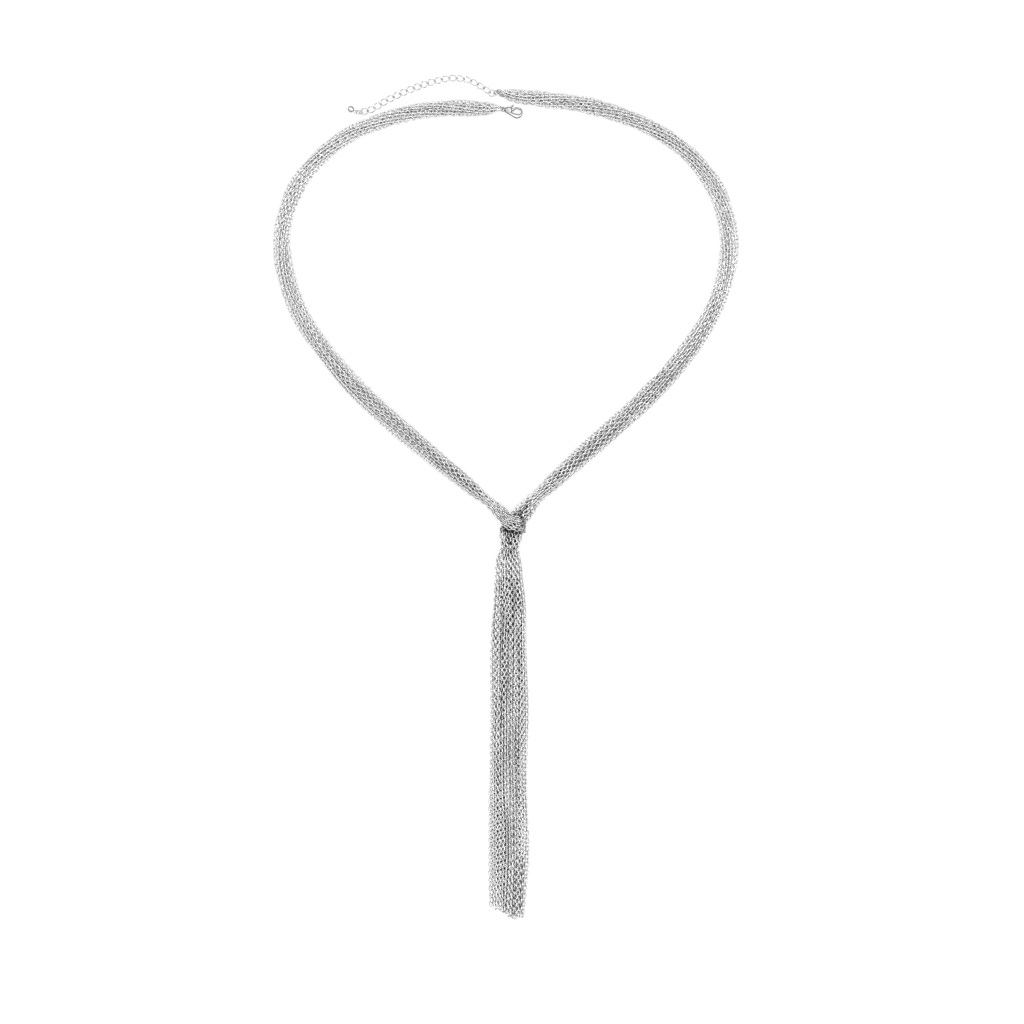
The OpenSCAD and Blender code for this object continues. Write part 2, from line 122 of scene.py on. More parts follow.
# The left chains' turn round them: angle in degrees, drop, half width
WRAP_ROWS = np.array([
    (52, -0.2, 3.5), (75, 0.3, 3.4), (100, 0.9, 3.1), (125, 1.4, 2.8), (150, 1.8, 2.6),
    (180, 2.1, 2.6), (215, 2.5, 2.6), (250, 3, 2.6), (290, 3.6, 2.5), (325, 4.1, 2.4),
    (350, 4.6, 2.3),
])

# Where the left chains come to the knot and where they leave it, as x, y, z: the middle, what a
# lane adds, and what the outer layer adds
WRAP_COME = np.array([(-3.5, -6, 4.4), (1.3, 2, 0), (0, 0, 0.8)])
WRAP_LEAVE = np.array([(-0.3, -19.6, 4.2), (-1.2, 0.6, 0), (-0.4, 0, 0.8)])


class Side(Enum):
    """The two bundles. Left hangs on the clasp's ring, right on the extender's rings."""

    LEFT = "left"
    RIGHT = "right"


def smooth_step(value: Array) -> Array:
    """A soft ramp from 0 to 1."""
    f = np.clip(value, 0.0, 1.0)
    return f * f * (3 - 2 * f)


def unit(rows: Array) -> Array:
    """Rows of vectors, each at length 1."""
    return rows / np.maximum(np.linalg.norm(rows, axis=-1, keepdims=True), 1e-9)


def capped(rows: Array, most: float) -> Array:
    """Rows of vectors, none longer than the given length."""
    return rows * np.minimum(1, most / np.maximum(np.linalg.norm(rows, axis=-1, keepdims=True), 1e-9))


def ranks(values: Array) -> Array:
    """The place of each value in their order from low to high."""
    return np.argsort(np.argsort(values))


def deal(rows: Array, by: Array, to: Array) -> Array:
    """Rows sorted by one value, dealt out in the order of another."""
    return rows[np.argsort(by)][ranks(to)]


def soften(paths: Array, share: float) -> None:
    """Draw each point of the paths towards the middle of its neighbours."""
    paths[:, 1:-1] += share * (paths[:, :-2] + paths[:, 2:] - 2 * paths[:, 1:-1])


def run_length(path: Array) -> Array:
    """The length of a path up to each of its points."""
    return np.concatenate([[0], np.cumsum(np.linalg.norm(np.diff(path, axis=0), axis=1))])


def rows_at(where: Array, length: Array, rows: Array) -> Array:
    """Rows between the given ones, at the given lengths."""
    return np.stack([np.interp(where, length, column) for column in rows.T], axis=1)


def curve_through(rows: Array, step: float) -> Array:
    """Follow a table of rows with a smooth curve.

    Args:
        rows: Points, or stations whose first two columns are a place.
        step: Distance between the rows that come back, measured in their place.

    Returns:
        The rows along a Catmull-Rom curve, evenly spaced from the first row to the last.
    """
    ends = np.vstack([2 * rows[0] - rows[1], rows, 2 * rows[-1] - rows[-2]])
    f = np.linspace(0, 1, 40, endpoint=False)[:, None]
    fine = []
    for i in range(1, len(ends) - 2):
        a, b, c, d = ends[i - 1:i + 3]
        fine.append(0.5 * (2 * b + (c - a) * f + (2 * a - 5 * b + 4 * c - d) * f ** 2
                           + (3 * b - a - 3 * c + d) * f ** 3))
    fine = np.vstack(fine + [rows[-1:]])
    length = run_length(fine if fine.shape[1] == 3 else fine[:, :2])
    at = np.linspace(0, length[-1], max(2, round(length[-1] / step) + 1))
    return rows_at(at, length, fine)


def ripple(rng: Generator, chains: int, count: int, waves: Pair, phase: float = PHASE) -> Array:
    """One slow sine along each chain, its wave between the given lengths, its phase below the given one."""
    wave = rng.uniform(*waves, (chains, 1))
    return np.sin(2 * math.pi * (np.arange(count) * STEP) / wave + rng.uniform(0, phase, (chains, 1)))


def add_object(name: str, data: ID) -> Object:
    """Put a mesh, camera or light in the scene as an object at the origin.

    Args:
        name: The object's name.
        data: What it shows.

    Returns:
        The object.
    """
    made = bpy.data.objects.new(name, data)
    bpy.context.scene.collection.objects.link(made)
    return made


def add_piece(name: str, mesh: Mesh) -> Object:
    """Put a mesh in the scene, smoothly shaded."""
    mesh.polygons.foreach_set("use_smooth", [True] * len(mesh.polygons))
    return add_object(name, mesh)


def finish_mesh(name: str, mesh: BMesh, place: Matrix) -> Object:
    """Clean a bmesh, set it in place and make it an object.

    Args:
        name: The piece's name.
        mesh: Its mesh, which is used up.
        place: Where it goes.

    Returns:
        The piece, with its sharp edges marked.
    """
    bmesh.ops.remove_doubles(mesh, verts=mesh.verts, dist=MERGE)
    bmesh.ops.recalc_face_normals(mesh, faces=mesh.faces)
    bmesh.ops.transform(mesh, matrix=place, verts=mesh.verts)
    data = bpy.data.meshes.new(name)
    mesh.to_mesh(data)
    mesh.free()
    piece = add_piece(name, data)
    data.set_sharp_from_angle(angle=math.radians(50))
    return piece


def mark_painted_shade(mesh: Mesh, shares: Array) -> None:
    """Write the share of painted shade at each point of a mesh, which darkens its metal."""
    shade = mesh.attributes.new("painted_shade", "FLOAT", "POINT")
    shade.data.foreach_set("value", shares)


def dress(piece: Object, material: Material, body: str, slot: str, *nodes: str) -> None:
    """Give a piece its finish, and tie it to its body and to the solids that it stands for.

    Args:
        piece: The piece.
        material: Its finish.
        body: The body that it moves with.
        slot: The record's material slot; not used.
        nodes: The solids that it replaces.
    """
    piece.data.materials.append(material)
    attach(piece, body)
    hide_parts(*nodes)
    log.info("%s: %d faces on %s", piece.name, len(piece.data.polygons), body)


def gray(tone: float) -> Row:
    """A colour of one tone."""
    return (tone, tone, tone, 1)


def feed(tree: NodeTree, node: Node, inputs: dict) -> None:
    """Set a node's inputs.

    Args:
        tree: The node's tree.
        node: The node.
        inputs: For the name or number of each input, its value or the output that it is linked to.
    """
    for key, value in inputs.items():
        if isinstance(value, NodeSocket):
            tree.links.new(value, node.inputs[key])
        else:
            node.inputs[key].default_value = value


def add_node(tree: NodeTree, kind: str, inputs: dict, **settings: object) -> Node:
    """Add a shader node.

    Args:
        tree: The tree to add to.
        kind: The node's type, without its first word.
        inputs: As in feed.
        settings: The node's own properties.

    Returns:
        The node.
    """
    node = tree.nodes.new(f"ShaderNode{kind}")
    for name, value in settings.items():
        setattr(node, name, value)
    feed(tree, node, inputs)
    return node


def by_ray(tree: NodeTree, seen: float, otherwise: float) -> NodeSocket:
    """A value that is one thing to the camera and another to light and reflections."""
    ray = add_node(tree, "LightPath", {}).outputs["Is Camera Ray"]
    return add_node(tree, "MapRange", {"Value": ray, "To Min": otherwise, "To Max": seen}).outputs[0]


def wear_and_shade_group() -> NodeTree:
    """Build the shared group of plated metal's dull patches and scratches, with the painted shade that a
    piece carries.

    Returns:
        A group that turns a place on the piece into a colour, a roughness and a height.
    """
    group = bpy.data.node_groups.new("silver_wear_and_shade", "ShaderNodeTree")
    for way, kind, names in (
        ("INPUT", "Vector", ("Place",)), ("INPUT", "Color", ("Metal", "Dark Tone")),
        ("INPUT", "Float", ("Tarnish Amount", "Painted Shade", "Gloss", "Cloud Size", "Scratch Size")),
        ("OUTPUT", "Color", ("Color",)), ("OUTPUT", "Float", ("Roughness", "Height")),
    ):
        for name in names:
            group.interface.new_socket(name, in_out=way, socket_type=f"NodeSocket{kind}")

    def compute(operation: str, *values: float | NodeSocket) -> NodeSocket:
        """The result of a math node."""
        return add_node(group, "Math", dict(enumerate(values)), operation=operation).outputs[0]

    def noise(size: str, detail: float) -> NodeSocket:
        """A noise over the piece."""
        inputs = {"Vector": given["Place"], "Scale": given[size], "Detail": detail}
        return add_node(group, "TexNoise", inputs).outputs[0]

    # Roughness that a full share of dull patches and painted shade, and the deepest scratch, add
    haze_most, grit_most = 0.35, 0.06
    given = group.nodes.new("NodeGroupInput").outputs
    cloud, scratch = noise("Cloud Size", 3.0), noise("Scratch Size", 2.0)
    patch = add_node(group, "MapRange", {"Value": cloud, "From Min": 0.42, "From Max": 0.72}).outputs[0]
    # The share of the dark tone is the larger of the dull patches and the piece's painted shade
    share = compute("MAXIMUM", compute("MULTIPLY", patch, given["Tarnish Amount"]), given["Painted Shade"])
    haze = compute("MULTIPLY_ADD", share, haze_most, given["Gloss"])
    mix = add_node(group, "Mix", {"Factor": share, "A": given["Metal"], "B": given["Dark Tone"]},
                   data_type="RGBA")
    feed(group, group.nodes.new("NodeGroupOutput"), {
        "Color": mix.outputs["Result"], "Roughness": compute("MULTIPLY_ADD", scratch, grit_most, haze),
        "Height": scratch,
    })
    return group


@dataclass(frozen=True)
class SilverFinish:
    """A silver-coloured plate: its tones, how far it has dulled, its gloss and its relief.

    cloud and scratch are the scales of the noises, and depth is the relief's height in metres. A piece may
    carry painted shade, which mixes its colour towards the dark tone.
    """

    name: str
    metal: float
    tarnish_and_shade: float
    dulled: float
    gloss: float
    cloud: float
    scratch: float
    relief: float
    painted_shade_map: bool = False
    depth: float = 0.00002

    def material(self, wear_and_shade: NodeTree) -> Material:
        """Build the material.

        Args:
            wear_and_shade: The shared group of dull patches, scratches and painted shade.

        Returns:
            A metal whose colour, roughness and relief change over the piece.
        """
        made = bpy.data.materials.new(self.name)
        made.use_nodes = True
        tree = made.node_tree
        inputs = {
            "Place": add_node(tree, "TexCoord", {}).outputs["Object"],
            "Metal": gray(self.metal), "Dark Tone": gray(self.tarnish_and_shade), "Tarnish Amount": self.dulled,
            "Gloss": self.gloss, "Cloud Size": self.cloud, "Scratch Size": self.scratch,
        }
        # Pieces with a map of painted shade darken towards the dark tone by it
        if self.painted_shade_map:
            inputs["Painted Shade"] = add_node(tree, "Attribute", {}, attribute_name="painted_shade").outputs["Fac"]
        worn_and_shaded = add_node(tree, "Group", inputs, node_tree=wear_and_shade).outputs
        relief = {"Strength": self.relief, "Distance": self.depth, "Height": worn_and_shaded["Height"]}
        feed(tree, tree.nodes["Principled BSDF"], {
            "Metallic": 1.0, "Base Color": worn_and_shaded["Color"], "Roughness": worn_and_shaded["Roughness"],
            "Normal": add_node(tree, "Bump", relief).outputs["Normal"],
        })
        return made


# Chain and cast finishes darken to their dark tone where their pieces carry painted shade
CHAIN_FINISH = SilverFinish("chain_silver", metal=0.95, tarnish_and_shade=0.03, dulled=0.08, gloss=0.12,
                            cloud=220, scratch=5200, relief=0.2, painted_shade_map=True)
RING_FINISH = SilverFinish("ring_silver", metal=0.66, tarnish_and_shade=0.3, dulled=0.15, gloss=0.1,
                           cloud=400, scratch=6000, relief=0.2)
CAST_FINISH = SilverFinish("cast_silver", metal=0.7, tarnish_and_shade=0.03, dulled=0.12, gloss=0.1,
                           cloud=700, scratch=3000, relief=0.3, painted_shade_map=True)


@dataclass(frozen=True)
class ChainLink:
    """One small cable link, lying along X with its opening towards Z.

    painted_shade_start is the share of painted shade that the top of the wire already has.
    """

    half_length: float = 1.14
    half_width: float = 0.89
    wire: float = 0.44
    around: int = 12
    sides: int = 5
    painted_shade_start: float = 0.35

    def template(self) -> tuple[Array, Array, Array, Array]:
        """Spin a wire into a link and pull it long.

        Returns:
            The link's points, its faces, the map coordinates of each face corner in a unit square,
            and the share of painted shade at each point, by how deep in the link's opening it lies, from 0 to
            1.
        """
        mesh = bmesh.new()
        torus(mesh, self.half_width, self.wire, self.around, self.sides)
        waist = 0.3 * self.half_width
        for vert in mesh.verts:
            if abs(vert.co.x) > waist:
                vert.co.x += math.copysign(self.half_length - self.half_width, vert.co.x)
        bmesh.ops.recalc_face_normals(mesh, faces=mesh.faces)
        mesh.verts.ensure_lookup_table()
        points = np.array([vert.co[:] for vert in mesh.verts])
        faces = np.array([[vert.index for vert in face.verts] for face in mesh.faces])
        mesh.free()
        out = np.linalg.norm(points[:, :2], axis=1)
        rim = np.where(np.abs(points[:, 0]) > waist, self.half_length, self.half_width)
        turns = []
        for rise, run in ((points[:, 1], points[:, 0]), (points[:, 2], out - rim)):
            turn = (np.arctan2(rise, run) / (2 * math.pi))[faces]
            # The corners of one face stay on one side of the seam.
            turns.append(np.where(turn - turn.min(1, keepdims=True) > 0.5, turn - 1, turn))
        chart = np.stack(turns, axis=-1)
        low, high = chart.min((0, 1)), chart.max((0, 1))
        # The link's opening is darker deeper in and towards its ends: partly dulled plate, partly painted
        # shade
        inward = np.clip((rim - out) / self.wire + self.painted_shade_start, 0, 1)
        painted_shade = inward * np.clip(np.abs(points[:, 0]) / self.half_length, 0, 1)
        return points, faces, (chart - low) / (high - low), painted_shade


@dataclass
class EndRing:
    """The jump ring that a bundle's chains hang on.

    centre, tilt and heading are the ring's own. reach is +1 where the chains leave along the
    ring's heading and -1 where they leave against it. lowest is the least height of a first link.
    """

    centre: Place
    tilt: float
    heading: float
    radius: float
    reach: float
    low_turn: float = -8.0
    high_turn: float = 105.0
    hang: float = 0.44
    lowest: float = 1.15

    def first_links(self, count: int, away: Array) -> Array:
        """Places of the first link of each chain, spread along the ring's wire.

        Args:
            count: Number of chains.
            away: Direction in which the bundle leaves.

        Returns:
            One row for each chain.
        """
        turn = (Matrix.Rotation(math.radians(self.heading), 3, "Z")
                @ Matrix.Rotation(math.radians(self.tilt), 3, "X"))
        flat = np.array(turn @ Vector((self.reach, 0, 0)))
        rise = np.array(turn @ Vector((0, 1, 0)))
        angle = np.radians(np.linspace(self.low_turn, self.high_turn, count))[:, None]
        outward = np.cos(angle) * flat + np.sin(angle) * rise
        first = np.array(self.centre) + self.radius * outward + self.hang * unit(outward + away)
        first[:, 2] = np.maximum(first[:, 2], self.lowest)
        return first


@dataclass
class ChainBundle:
    """The chains of one side, from their ring to the knot.

    They lie on an inner and an outer circle that the bundle's section flattens, and turn about its
    middle by sweep turns. gather is the length over which they spread from the ring.
    """

    side: Side
    rows: Array
    ring: EndRing
    rng: Generator
    sweep: float
    chains: int = 12
    inner: int = 3
    inner_depth: float = 0.3
    outer_depth: float = 0.9
    gather: float = 4.2
    sorted_at: int = 8

    def line(self) -> Array:
        """Stations along the bundle at even steps."""
        return curve_through(self.rows, STEP)

    def wander(self, count: int, size: float, waves: Pair) -> Array:
        """Slow random drift of each chain, in rows of the given count."""
        drift = sum(ripple(self.rng, self.chains, count, waves, 2 * math.pi) for _ in range(WAVES))
        return drift * size / WAVES

    def upper_paths(self) -> Array:
        """Make a first guess of the paths from the ring to the knot.

        Returns:
            The points of each chain, as chains, stations and x y z.
        """
        line = self.line()
        along = unit(np.gradient(line[:, :2], axis=0))
        across = np.stack([-along[:, 1], along[:, 0]], axis=1)
        count, outer = len(line), self.chains - self.inner
        spoke = np.concatenate([np.arange(self.inner) / self.inner, np.arange(outer) / outer])
        depth = np.repeat([self.inner_depth, self.outer_depth], [self.inner, outer])[:, None]
        lay = 2 * math.pi * self.sweep * (1 - (1 - np.linspace(0, 1, count)) ** 3)
        if self.side is Side.RIGHT:
            lay = -lay
        angle = 2 * math.pi * spoke[:, None] + lay + self.wander(count, size=0.3, waves=(50, 120))
        depth = np.clip(depth + self.wander(count, size=0.14, waves=(35, 80)), 0, 1)
        wide = line[:, 2] / 2 - CHAIN_REACH
        high = np.maximum(line[:, 3] / 2 - CHAIN_REACH, LEAST_RISE)
        out = depth * np.cos(angle) * wide + self.wander(count, size=0.2, waves=(30, 70))
        z = line[:, 4] + line[:, 3] / 2 + depth * np.sin(angle) * high
        paths = np.dstack([line[:, :2] + across * out[..., None], z])
        away = np.append(unit(line[3, :2] - line[0, :2]), 0.0)
        first = self.ring.first_links(self.chains, away)[ranks(paths[:, self.sorted_at, 2])]
        at = (np.arange(count) * STEP)[:, None]
        blend = smooth_step(at / self.gather)
        paths = (first[:, None] + away * at) * (1 - blend) + paths * blend
        paths[:, 0] = first
        return paths


@dataclass
class Knot:
    """The wrapped knot: the right chains run through it, the left ones go once round them.

    A reach or a wrap is half the width and half the height. Below the knot the chains lie in
    columns of four layers.
    """

    middle: Place = (3.1, -10.9, 4.15)
    core_reach: Pair = (3.1, 1.7)
    core_depths: Pair = (0.35, 0.95)
    wrap_inner: Pair = (4.0, 2.4)
    wrap_outer: Pair = (5.2, 3.5)
    core_points: int = 26
    wrap_points: int = 58
    neck_y: float = -22.8
    neck_floor: float = 1.9
    neck_rise: float = 1.2
    neck_lean: float = 0.02
    neck_pitch: float = 1.05
    neck_left: float = -1.05
    neck_right: float = 2.1
    layers: int = 4

    def at_neck(self, x: float, layer: int) -> Array:
        """Place of a chain in the neck below the knot."""
        return np.array([x + self.neck_lean * layer, self.neck_y, self.neck_floor + self.neck_rise * layer])

    def core_paths(self, chains: int) -> Array:
        """Lead the right chains through the core.

        Args:
            chains: Number of chains.

        Returns:
            Control points of each chain.
        """
        number = np.arange(chains)
        angle = 2 * math.pi * (number + 0.5) / chains
        depth = np.where(number % 3 == 0, *self.core_depths)
        x = depth * np.cos(angle) * self.core_reach[0]
        z = depth * np.sin(angle) * self.core_reach[1]
        column = ranks(x) // self.layers
        layer = np.empty(chains, int)
        for c in range(chains // self.layers):
            layer[column == c] = ranks(z[column == c])
        lean, pinch = CORE_ROWS[:, 3], CORE_ROWS[:, 4]
        return np.stack([
            np.vstack([CORE_ROWS[:, :3] + np.stack([x[k] * pinch, x[k] * lean, z[k] * pinch], 1),
                       self.at_neck(self.neck_right + self.neck_pitch * column[k], layer[k])])
            for k in range(chains)
        ])

    def wrap_paths(self, chains: int) -> Array:
        """Lead the left chains once round the core, side by side in an inner and an outer layer.

        Args:
            chains: Number of chains.

        Returns:
            Control points of each chain.
        """
        turn, drop, half_width = np.radians(WRAP_ROWS[:, 0]), WRAP_ROWS[:, 1], WRAP_ROWS[:, 2]
        columns = chains // 2
        paths = []
        for k in range(chains):
            column, outer = divmod(k, 2)
            lane = 2 * (column + 0.5) / columns - 1
            flat, rise = self.wrap_outer if outer else self.wrap_inner
            wrap = np.stack([
                self.middle[0] - flat * np.cos(turn),
                self.middle[1] + half_width * lane - drop,
                self.middle[2] + rise * np.sin(turn),
            ], axis=1)
            come, leave = (rows[0] + lane * rows[1] + outer * rows[2] for rows in (WRAP_COME, WRAP_LEAVE))
            x = self.neck_left + self.neck_pitch * ((columns - 1 - column) // 2)
            paths.append(np.vstack([come, wrap, leave, self.at_neck(x, 2 * (column % 2) + outer)]))
        return np.stack(paths)


@dataclass
class Tassel:
    """The free chains below the knot, in two layers."""

    rng: Generator
    chains: int = 24
    sway: float = 0.05
    sway_waves: Pair = (60, 150)
    lift: float = 0.25
    lift_waves: Pair = (50, 120)
    shorter: Row = (0.0, 0.5, 0.2, 0.8)
    last_link: float = 0.8

    def paths(self) -> Array:
        """Make a first guess of the paths from the neck to past the longest end.

        Returns:
            The points of each chain, as chains, stations and x y z.
        """
        line = curve_through(TASSEL_ROWS, STEP)
        count, columns = len(line), self.chains // 2
        sway, lift = np.zeros((self.chains, count)), np.zeros((self.chains, count))
        for _ in range(WAVES):
            sway += ripple(self.rng, self.chains, count, self.sway_waves)
            lift += ripple(self.rng, self.chains, count, self.lift_waves)
        slot = np.repeat((np.arange(columns) + 0.5) / columns * 2 - 1, 2)[:, None]
        x = np.clip(slot + self.sway * sway, -1, 1)
        layer = np.clip(np.tile([-1.0, 1.0], columns)[:, None] + self.lift * lift, -1, 1)
        rise = np.maximum(line[:, 3] / 2 - CHAIN_REACH, LEAST_RISE)
        return np.dstack([
            line[:, 0] + x * (line[:, 2] / 2 - CHAIN_REACH),
            np.broadcast_to(line[:, 1], x.shape),
            line[:, 4] + line[:, 3] / 2 + layer * rise,
        ])

    def end_of(self, x: float, number: int) -> float:
        """The y where the chain that ends at x stops."""
        end = float(np.interp(x, TASSEL_ENDS[:, 0], TASSEL_ENDS[:, 1]))
        return end + self.shorter[number % len(self.shorter)] + self.last_link


@dataclass
class ChainPress:
    """Lets the chains push each other apart until they lie beside and on each other.

    A gap is between the middles of chains, and floor is the lowest middle. In each round a point
    moves by a share of what it lacks: towards its neighbours (soft), towards its first place
    (pull), and away from chains beside it or one station on (beside, onward). The knot reaches
    some stations into the bundles above and into the tassel below.
    """

    gap: float = 1.5
    knot_gap: float = 1.15
    floor: float = 1.08
    chain_area: float = 2.1
    rounds: int = 140
    late: float = 0.7
    pull: float = 0.05
    late_pull: float = 0.02
    knot_pull: float = 0.12
    soft: float = 0.22
    free_soft: float = 0.3
    free_passes: int = 3
    sink: float = 0.02
    beside: float = 0.36
    onward: float = 0.1
    most: float = 0.25
    knot_share: float = 0.18
    knot_most: float = 0.2
    knot_above: int = 12
    knot_below: int = 14
    overlap: int = 4
    tassel_lead: int = 10

    def relax(self, joined: list[Array], lines: list[Array]) -> None:
        """Settle the chains on the surface and on each other, in place.

        Args:
            joined: Whole paths of each side.
            lines: Stations along each side's bundle.
        """
        below = len(curve_through(TASSEL_ROWS, STEP)) - TASSEL_JOIN
        aims = [paths.copy() for paths in joined]
        spans, gaps = [], []
        for paths, line in zip(joined, lines):
            chains, count, _ = paths.shape
            spans.append((len(line) - self.knot_above, count - below + self.knot_below))
            room = np.minimum(1, np.sqrt(line[:, 2] * line[:, 3] / (chains * self.chain_area)))
            gaps.append(self.gap * np.concatenate([room, np.ones(count - len(line))]))
        for turn in range(self.rounds):
            pull = self.pull if turn < self.rounds * self.late else self.late_pull
            for paths, aim, (start, end), gap in zip(joined, aims, spans, gaps):
                self.draw_in(paths, aim, start, end, pull)
                self.part_rows(paths[:, :start + self.overlap], gap[:start + self.overlap])
            tail = below - self.tassel_lead
            both = np.concatenate([paths[:, -tail:] for paths in joined])
            self.part_rows(both, np.full(tail, self.gap))
            for paths, parted in zip(joined, np.split(both, len(joined))):
                paths[:, -tail:] = parted
            if turn % 2 == 0:
                self.part_knot([paths[:, start:end] for paths, (start, end) in zip(joined, spans)])
            for paths, aim in zip(joined, aims):
                paths[:, 1:, 2] = np.maximum(paths[:, 1:, 2], self.floor)
                paths[:, 0] = aim[:, 0]

    def draw_in(self, paths: Array, aim: Array, start: int, end: int, pull: float) -> None:
        """Smooth the chains and draw them towards their first places, most of all in the knot.

        Args:
            paths: Points of the chains, moved in place.
            aim: Their first places.
            start: First station of the knot.
            end: Station after its last.
            pull: Share of the way back that they go.
        """
        soft = paths.copy()
        soften(soft, self.soft)
        for _ in range(self.free_passes):
            soften(soft[:, :start], self.free_soft)
            soften(soft[:, end:], self.free_soft)
        soft[:, start:end] += (self.knot_pull - pull) * (aim[:, start:end] - paths[:, start:end])
        soft += pull * (aim - paths)
        soft[..., 2] -= self.sink
        soft[:, 0] = aim[:, 0]
        paths[:] = soft

    def part_rows(self, paths: Array, gaps: Array) -> None:
        """Move apart chains that lie too close at the same station or the next.

        Args:
            paths: Points of the chains, moved in place.
            gaps: Distance to keep at each station.
        """
        chains, count, _ = paths.shape
        own, least = np.arange(chains), 1e-6
        push = np.zeros_like(paths)
        for shift, share in ((-1, self.onward), (0, self.beside), (1, self.onward)):
            low, high = max(0, -shift), count - max(0, shift)
            apart = paths[:, None, low:high] - paths[None, :, low + shift:high + shift]
            far = np.linalg.norm(apart, axis=-1)
            lack = np.clip(gaps[low:high] - far, 0, None) * (far > least)
            lack[own, own] = 0
            push[:, low:high] += (apart * (lack / np.maximum(far, least))[..., None]).sum(1) * share
        paths += capped(push, self.most)

    def part_knot(self, parts: list[Array]) -> None:
        """Move apart chains that lie too close anywhere in the knot.

        Args:
            parts: Points of each side's chains in the knot, moved in place.
        """
        points = np.concatenate([part.reshape(-1, 3) for part in parts])
        chain = np.concatenate([
            np.repeat(np.arange(len(part)) + len(part) * i, part.shape[1]) for i, part in enumerate(parts)
        ])
        square = (points ** 2).sum(1)
        far = np.sqrt(np.maximum(square[:, None] + square[None] - 2 * points @ points.T, 1e-12))
        one, two = np.nonzero((far < self.knot_gap) & (chain[:, None] != chain[None]))
        away = (points[one] - points[two]) / far[one, two][:, None]
        push = np.zeros_like(points)
        np.add.at(push, one, away * (self.knot_gap - far[one, two])[:, None] * self.knot_share)
        start = 0
        for part in parts:
            end = start + part.shape[0] * part.shape[1]
            part += capped(push[start:end], self.knot_most).reshape(part.shape)
            start = end


@dataclass
class ChainTarnishAndShade:
    """Painted shade on the chains: in the links' openings, partly dulled plate and partly painted shade, and
    painted shade on links that lie deep in the bundles under others.

    around_y and around_x are places, with the strength of the painted shade there. A link covers another
    within reach to the side, from rise above it on, and full of them hide it. On a bundle's flank,
    where the neighbours within around lie to one side, the painted shade fades by flank.
    """

    openings: float = 0.42
    buried: float = 0.94
    around_y: tuple[Row, Row] = (
        (-26, -20, -8, -4, 50, 90, 130, 160), (1, 1.6, 1.6, 0.85, 0.8, 0.35, 0.35, 0.5))
    around_x: tuple[Row, Row] = ((-60, -5), (0.82, 1))
    reach: float = 1.7
    fade: float = 1.5
    rise: float = 0.3
    rise_ramp: float = 0.9
    full: float = 2.2
    around: float = 3.0
    flank: float = 0.7
    flank_lean: float = 0.45
    flank_ramp: float = 0.7

    def depths(self, chains: list[Array]) -> list[Array]:
        """Find how deep each link lies under others, from 0 for open to 1.

        Args:
            chains: Middles of the links of each chain.

        Returns:
            A share for each link of each chain.
        """
        every = np.concatenate(chains)
        shares = []
        for middles in chains:
            apart = every[None] - middles[:, None]
            level = np.hypot(apart[..., 0], apart[..., 1])
            above = smooth_step((apart[..., 2] - self.rise) / self.rise_ramp)
            cover = (np.clip(self.fade - level / self.reach, 0, 1) * above).sum(1)
            near = (level < self.around)[..., None]
            lean = np.linalg.norm((apart[..., :2] * near).sum(1) / near.sum(1), axis=1)
            open_side = self.flank * smooth_step((lean - self.flank_lean) / self.flank_ramp)
            shares.append(np.clip(cover / self.full, 0, 1) * (1 - open_side))
        return shares

    def mask(self, middle: Array, deep: Array, painted_shade: Array) -> Array:
        """Find the painted shade at each point of a chain.

        Args:
            middle: Middles of its links.
            deep: How deep each link lies under others.
            painted_shade: The share of painted shade in a link's opening at each of its points, by how deep
                it lies.

        Returns:
            A share for each point, link by link.
        """
        # The painted shade is stronger or weaker by place along the necklace
        strength = np.interp(middle[:, 1], *self.around_y) * np.interp(middle[:, 0], *self.around_x)
        inner = self.openings * np.repeat(strength, len(painted_shade)) * np.tile(painted_shade, len(middle))
        # Links under others get painted shade, standing in for the shadow of the links above them
        covered = self.buried * np.minimum(np.repeat(deep * strength, len(painted_shade)), 1)
        return np.clip(np.maximum(inner, covered), 0, 1).astype(np.float32)


@dataclass
class Strand:
    """One chain: its path, the length along it of each link's middle, and each link's own roll."""

    name: str
    node: str
    path: Array
    at: Array
    roll: Array

    def points(self, shift: float = 0.0) -> Array:
        """Points of the path at the links' middles, or shifted along from them."""
        return rows_at(self.at + shift, run_length(self.path), self.path)


